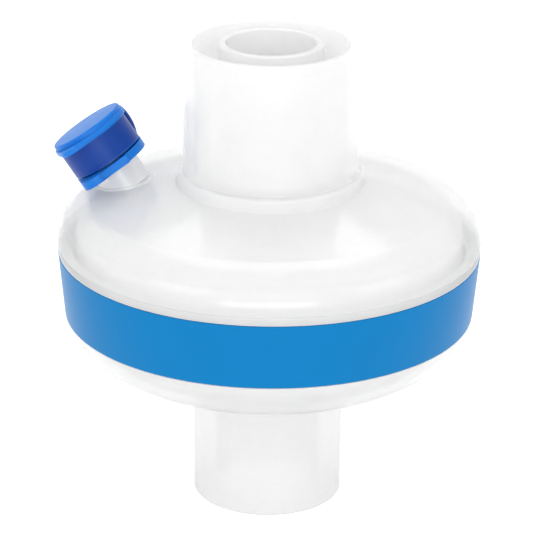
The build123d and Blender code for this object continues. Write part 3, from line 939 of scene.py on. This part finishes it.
def model_foam():
    """Foam disc, following the rounded corner and cut flat where it stands on the ribs."""
    sizes = bpy.context.scene.filter_media
    housing = bpy.context.scene.filter_housing
    shoulder = rim_radius - housing.rim_wall - housing.seam_gap - housing.tongue_wall - sizes.media_gap
    inset = housing.wall + sizes.media_gap
    side = [point for point in corner_arc(inset) if point[1] > foam_low.z]
    outline = rounded([
        (0, foam_low.z),
        (corner_reach(foam_low.z, inset), foam_low.z),
        *side,
        (shoulder, foam_high.z, sizes.foam_round),
        (0, foam_high.z),
    ])
    foam = turned_solid("foam_disc", outline, steps=MEDIA_STEPS)
    smooth(foam)
    return foam


def model_band():
    """Thin printed band in its recess."""
    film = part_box("label_band")[1].x - side_radius(band_high.z, bpy.context.scene.filter_housing.band_seat)
    low, high = band_low.z, band_high.z
    seat = bpy.context.scene.filter_housing.band_seat
    face = seat - film
    outline = rounded([
        (side_radius(low, seat), low),
        (side_radius(low, face), low, film / 3),
        (side_radius(high, face), high, film / 3),
        (side_radius(high, seat), high),
    ])
    band = turned("printed_band", outline)
    smooth(band)
    return band


def lobed_plate(name, body_radius, low, high):
    """A round plate drawn out to a thumb tab along X and, opposite it, to a strap lug with a straight end."""
    sizes = bpy.context.scene.filter_cap
    discs = (
        (0, body_radius),
        (sizes.tab_reach - sizes.tab_radius, sizes.tab_radius),
        (sizes.lug_setback - sizes.lug_reach, sizes.lug_radius),
    )
    deselect()
    plates = []
    for along, radius in discs:
        bpy.ops.mesh.primitive_cylinder_add(vertices=ROUND_STEPS, radius=radius, depth=high - low,
                                            location=(along, 0, (low + high) / 2))
        plates.append(bpy.context.object)
    for plate in plates:
        plate.select_set(True)
    bpy.ops.object.join()
    plate = start_piece(name)
    bpy.ops.object.transform_apply(location=True, rotation=True, scale=True)
    edit(plate)
    bpy.ops.mesh.convex_hull()
    bpy.ops.mesh.select_all(action="SELECT")
    bpy.ops.mesh.dissolve_limited(angle_limit=radians(FLAT_ANGLE))
    close_up()
    deselect()
    block_size = 4 * body_radius
    bpy.ops.mesh.primitive_cube_add(size=block_size, location=(-sizes.lug_reach - block_size / 2, 0, low))
    block = start_piece("block")
    bpy.ops.object.transform_apply(location=True, rotation=True, scale=True)
    combine(plate, block, "DIFFERENCE")
    return plate


def cap_levels():
    """Heights of the cap's skirt, flange and top disc above the port's foot."""
    sizes = bpy.context.scene.filter_cap
    skirt = sizes.ring_height + sizes.ring_thickness + sizes.skirt_gap
    flange = skirt + sizes.skirt_height
    disc = flange + sizes.flange_thickness
    return skirt, flange, disc


def model_cap():
    """Cap: top disc, flange with its tab and lug, skirt and plug."""
    sizes = bpy.context.scene.filter_cap
    port = bpy.context.scene.filter_sample_port
    skirt, flange, disc = cap_levels()
    roof = port.port_length + sizes.roof_gap
    bore = port.bead + sizes.skirt_clearance
    plug = port.bore - port.bore_taper / 2 * sizes.plug_length - sizes.plug_clearance
    outline = rounded([
        (0, roof - sizes.plug_length),
        (plug, roof - sizes.plug_length, sizes.edge_round * 3),
        (plug, roof),
        (bore, roof),
        (bore, skirt),
        (sizes.skirt_radius, skirt, sizes.edge_round),
        (sizes.skirt_radius, (flange + disc) / 2),
        (sizes.disc_radius, (flange + disc) / 2),
        (sizes.disc_radius, disc + sizes.disc_thickness, sizes.disc_round),
        (0, disc + sizes.disc_thickness),
    ])
    cap = turned_solid("sample_cap", outline, steps=ROUND_STEPS)
    plate = lobed_plate("flange_plate", sizes.flange_radius, flange, disc)
    soften(plate, sizes.edge_round)
    place(plate, Matrix.Rotation(sizes.lobe_angle, 4, "Z"))
    combine(cap, plate, "UNION")
    place(cap, sample_placement())
    smooth(cap)
    return cap


def model_ring():
    """Retaining ring round the neck, with its own tab, lug and small step."""
    sizes = bpy.context.scene.filter_cap
    low = sizes.ring_height
    high = low + sizes.ring_thickness
    ring = lobed_plate("retaining_ring", sizes.ring_radius, low, high)
    place(ring, Matrix.Rotation(sizes.lobe_angle - sizes.step_angle, 4, "Z"))
    edit(ring)
    bpy.ops.mesh.select_mode(type="FACE")
    bpy.ops.mesh.select_all(action="DESELECT")
    bpy.ops.object.mode_set(mode="OBJECT")
    for face in ring.data.polygons:
        beside = abs(face.center.y) < sizes.step_width / 2
        face.select = beside and face.center.x > 0 and abs(face.normal.z) < 0.5
    bpy.ops.object.mode_set(mode="EDIT")
    bpy.ops.mesh.extrude_region_move()
    bpy.ops.transform.resize(value=(0, 1, 1), center_override=(sizes.step_radius, 0, 0))
    close_up()
    place(ring, Matrix.Rotation(sizes.step_angle, 4, "Z"))
    soften(ring, sizes.edge_round)
    deselect()
    bore = bpy.context.scene.filter_sample_port.neck + sizes.ring_clearance
    bpy.ops.mesh.primitive_cylinder_add(vertices=ROUND_STEPS, radius=bore, depth=4 * (high - low),
                                        location=(0, 0, (low + high) / 2))
    hole = start_piece("ring_hole")
    bpy.ops.object.transform_apply(location=True, rotation=True, scale=True)
    combine(ring, hole, "DIFFERENCE")
    place(ring, sample_placement())
    smooth(ring)
    return ring


def model_strap():
    """Strap that arches out from the cap's lug and back down to the ring's lug."""
    sizes = bpy.context.scene.filter_cap
    _, flange, _ = cap_levels()
    root = sizes.lug_reach - sizes.strap_thickness / 2
    upper = (root, flange + sizes.flange_thickness / 2)
    crown = (sizes.lug_reach + sizes.strap_bulge, upper[1] - sizes.strap_bulge)
    lower = (root, sizes.ring_height + sizes.ring_thickness / 2)
    over = leaving_arc(upper, 0, crown)
    heading = degrees(atan2(over[-1][1] - over[-2][1], over[-1][0] - over[-2][0])) - ARC_STEP / 2
    under = leaving_arc(crown, heading, lower)
    strap = trace("tether_strap", over + under[1:])
    bpy.ops.mesh.select_all(action="SELECT")
    bpy.ops.transform.translate(value=(0, -sizes.strap_width / 2, 0))
    bpy.ops.mesh.extrude_region_move(TRANSFORM_OT_translate={"value": (0, sizes.strap_width, 0)})
    close_up()
    only(strap)
    sheet = strap.modifiers.new("thickness", "SOLIDIFY")
    sheet.thickness = sizes.strap_thickness
    sheet.offset = 0
    bpy.ops.object.modifier_apply(modifier=sheet.name)
    soften(strap, sizes.edge_round, limit=60)
    place(strap, Matrix.Rotation(sizes.lobe_angle + pi, 4, "Z"))
    place(strap, sample_placement())
    smooth(strap)
    return strap


# Operators

class FILTER_OT_patient_half(bpy.types.Operator):
    """Model the lower shell with the patient port"""
    bl_idname = "filter.patient_half"
    bl_label = "Patient Half"

    def execute(self, context):
        finish_piece(model_patient_half(), "filter", ["lower_housing"], milky_shell())
        return {"FINISHED"}


class FILTER_OT_machine_half(bpy.types.Operator):
    """Model the upper shell with the machine port and the sampling port"""
    bl_idname = "filter.machine_half"
    bl_label = "Machine Half"

    def execute(self, context):
        finish_piece(model_machine_half(), "filter", ["upper_housing"], milky_shell())
        return {"FINISHED"}


class FILTER_OT_media(bpy.types.Operator):
    """Model the felt pad and the foam disc"""
    bl_idname = "filter.media"
    bl_label = "Media"

    def execute(self, context):
        finish_piece(model_pad(), "filter", ["filter_pad"], felt_material())
        finish_piece(model_foam(), "filter", ["hme_media"], foam_material())
        return {"FINISHED"}


class FILTER_OT_band(bpy.types.Operator):
    """Model the printed band"""
    bl_idname = "filter.band"
    bl_label = "Band"

    def execute(self, context):
        finish_piece(model_band(), "filter", ["label_band"], band_material())
        return {"FINISHED"}


class FILTER_OT_cap(bpy.types.Operator):
    """Model the sampling port's cap, its ring and its strap"""
    bl_idname = "filter.cap"
    bl_label = "Cap, Ring and Strap"

    def execute(self, context):
        finish_piece(model_cap(), "cap", ["port_cap"], cap_material())
        finish_piece(model_ring(), "ring", ["cap_ring"], cap_material())
        strap = model_strap()
        strap.data.materials.clear()
        strap.data.materials.append(cap_material())
        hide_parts("cap_strap")
        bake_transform(strap)
        deselect()
        return {"FINISHED"}


class FILTER_OT_stage(bpy.types.Operator):
    """Set the floor, the lamps, the white room and the camera"""
    bl_idname = "filter.stage"
    bl_label = "Stage"

    def execute(self, context):
        lay_floor()
        hang_lamps()
        paint_room()
        stand_camera()
        context.scene.view_settings.view_transform = "Standard"
        return {"FINISHED"}


# Stage

def white_to_lens(tree, x, y):
    """1 for rays from the lens, or that the lens sees in gloss or through clear plastic."""
    path = add_node(tree, "ShaderNodeLightPath", x, y)
    seen = add_node(tree, "ShaderNodeMath", x + 200, y, operation="MAXIMUM")
    tree.links.new(path.outputs["Is Camera Ray"], seen.inputs[0])
    tree.links.new(path.outputs["Is Transmission Ray"], seen.inputs[1])
    both = add_node(tree, "ShaderNodeMath", x + 400, y, operation="MAXIMUM")
    tree.links.new(seen.outputs[0], both.inputs[0])
    tree.links.new(path.outputs["Is Glossy Ray"], both.inputs[1])
    return both.outputs[0]


def lay_floor():
    """Pale floor that glows white to the lens and keeps the object's shadow."""
    studio = bpy.context.scene.filter_studio
    deselect()
    bpy.ops.mesh.primitive_circle_add(vertices=96, radius=2.0, fill_type="NGON")
    floor = start_piece("floor")
    material, tree, shader = new_material("pale_floor")
    shader.inputs["Base Color"].default_value = (*studio.floor, 1)
    shader.inputs["Roughness"].default_value = 0.7
    glow = add_node(tree, "ShaderNodeMath", 300, -500, operation="MULTIPLY")
    glow.inputs[1].default_value = studio.floor_glow
    tree.links.new(white_to_lens(tree, -400, -500), glow.inputs[0])
    shader.inputs["Emission Color"].default_value = (1, 1, 1, 1)
    tree.links.new(glow.outputs[0], shader.inputs["Emission Strength"])
    floor.data.materials.append(material)
    deselect()


def hang_lamp(name, azimuth, rise, distance, width, height, power):
    """A soft box that faces the object. Azimuth 0 is behind it and 90 on its right."""
    target = Vector((0, 0, cad_box[1].z / 2))
    turn, lift = radians(azimuth), radians(rise)
    towards = Vector((sin(turn) * cos(lift), cos(turn) * cos(lift), sin(lift)))
    lamp = bpy.data.lights.new(name, "AREA")
    lamp.shape = "RECTANGLE"
    lamp.size, lamp.size_y = width, height
    lamp.energy = power
    holder = bpy.data.objects.new(name, lamp)
    bpy.context.scene.collection.objects.link(holder)
    holder.location = target + towards * distance
    holder.rotation_mode = "QUATERNION"
    holder.rotation_quaternion = towards.to_track_quat("Z", "Y")


def hang_lamps():
    hang_lamp("overhead_softbox", azimuth=0, rise=62, distance=0.8, width=0.6, height=0.62, power=1.6)
    hang_lamp("left_softbox", azimuth=-128, rise=33, distance=0.8, width=0.42, height=0.3, power=0.6)
    hang_lamp("right_softbox", azimuth=112, rise=32, distance=0.8, width=0.42, height=0.24, power=0.52)
    hang_lamp("front_softbox", azimuth=180, rise=8, distance=1.0, width=0.9, height=0.34, power=2.7)


def paint_room():
    """White room: plain light on the object, pure white to the lens."""
    studio = bpy.context.scene.filter_studio
    world = bpy.context.scene.world or bpy.data.worlds.new("white_room")
    bpy.context.scene.world = world
    world.use_nodes = True
    tree = world.node_tree
    tree.nodes.clear()
    output = add_node(tree, "ShaderNodeOutputWorld", 600, 0)
    room = add_node(tree, "ShaderNodeBackground", 400, 0)
    room.inputs["Color"].default_value = (1, 1, 1, 1)
    strength = add_node(tree, "ShaderNodeMapRange", 200, 0)
    strength.inputs["To Min"].default_value = studio.sky
    strength.inputs["To Max"].default_value = 1.0
    tree.links.new(white_to_lens(tree, -400, 0), strength.inputs["Value"])
    tree.links.new(strength.outputs["Result"], room.inputs["Strength"])
    tree.links.new(room.outputs["Background"], output.inputs["Surface"])


def stand_camera():
    studio = bpy.context.scene.filter_studio
    aim = Vector(studio.camera_aim)
    back = Vector((0, -cos(studio.camera_rise), sin(studio.camera_rise)))
    view = bpy.data.cameras.new("camera")
    view.lens = studio.lens
    view.clip_start = 0.01
    camera = bpy.data.objects.new("camera", view)
    bpy.context.scene.collection.objects.link(camera)
    camera.location = aim + back * studio.camera_distance
    camera.rotation_mode = "QUATERNION"
    roll = Matrix.Rotation(studio.camera_roll, 4, "Z").to_quaternion()
    camera.rotation_quaternion = (-back).to_track_quat("-Z", "Y") @ roll
    bpy.context.scene.camera = camera


# Panel and registration

class FILTER_PT_sidebar(bpy.types.Panel):
    bl_idname = "FILTER_PT_sidebar"
    bl_label = "Breathing Circuit Filter"
    bl_space_type = "VIEW_3D"
    bl_region_type = "UI"
    bl_category = "Filter"

    def draw(self, context):
        for operator in OPERATORS:
            self.layout.operator(operator.bl_idname)
        for name, group in SETTINGS.items():
            box = self.layout.box()
            for key in group.__annotations__:
                box.prop(getattr(context.scene, name), key)


OPERATORS = (
    FILTER_OT_patient_half,
    FILTER_OT_machine_half,
    FILTER_OT_media,
    FILTER_OT_band,
    FILTER_OT_cap,
    FILTER_OT_stage,
)


def register():
    for group in (*SETTINGS.values(), *OPERATORS, FILTER_PT_sidebar):
        bpy.utils.register_class(group)
    for name, group in SETTINGS.items():
        setattr(bpy.types.Scene, name, bpy.props.PointerProperty(type=group))


def unregister():
    for name in SETTINGS:
        delattr(bpy.types.Scene, name)
    for group in reversed((*SETTINGS.values(), *OPERATORS, FILTER_PT_sidebar)):
        bpy.utils.unregister_class(group)


def main():
    register()
    bpy.ops.filter.patient_half()
    bpy.ops.filter.machine_half()
    bpy.ops.filter.media()
    bpy.ops.filter.band()
    bpy.ops.filter.cap()
    bpy.ops.filter.stage()


if __name__ == "__main__":
    main()
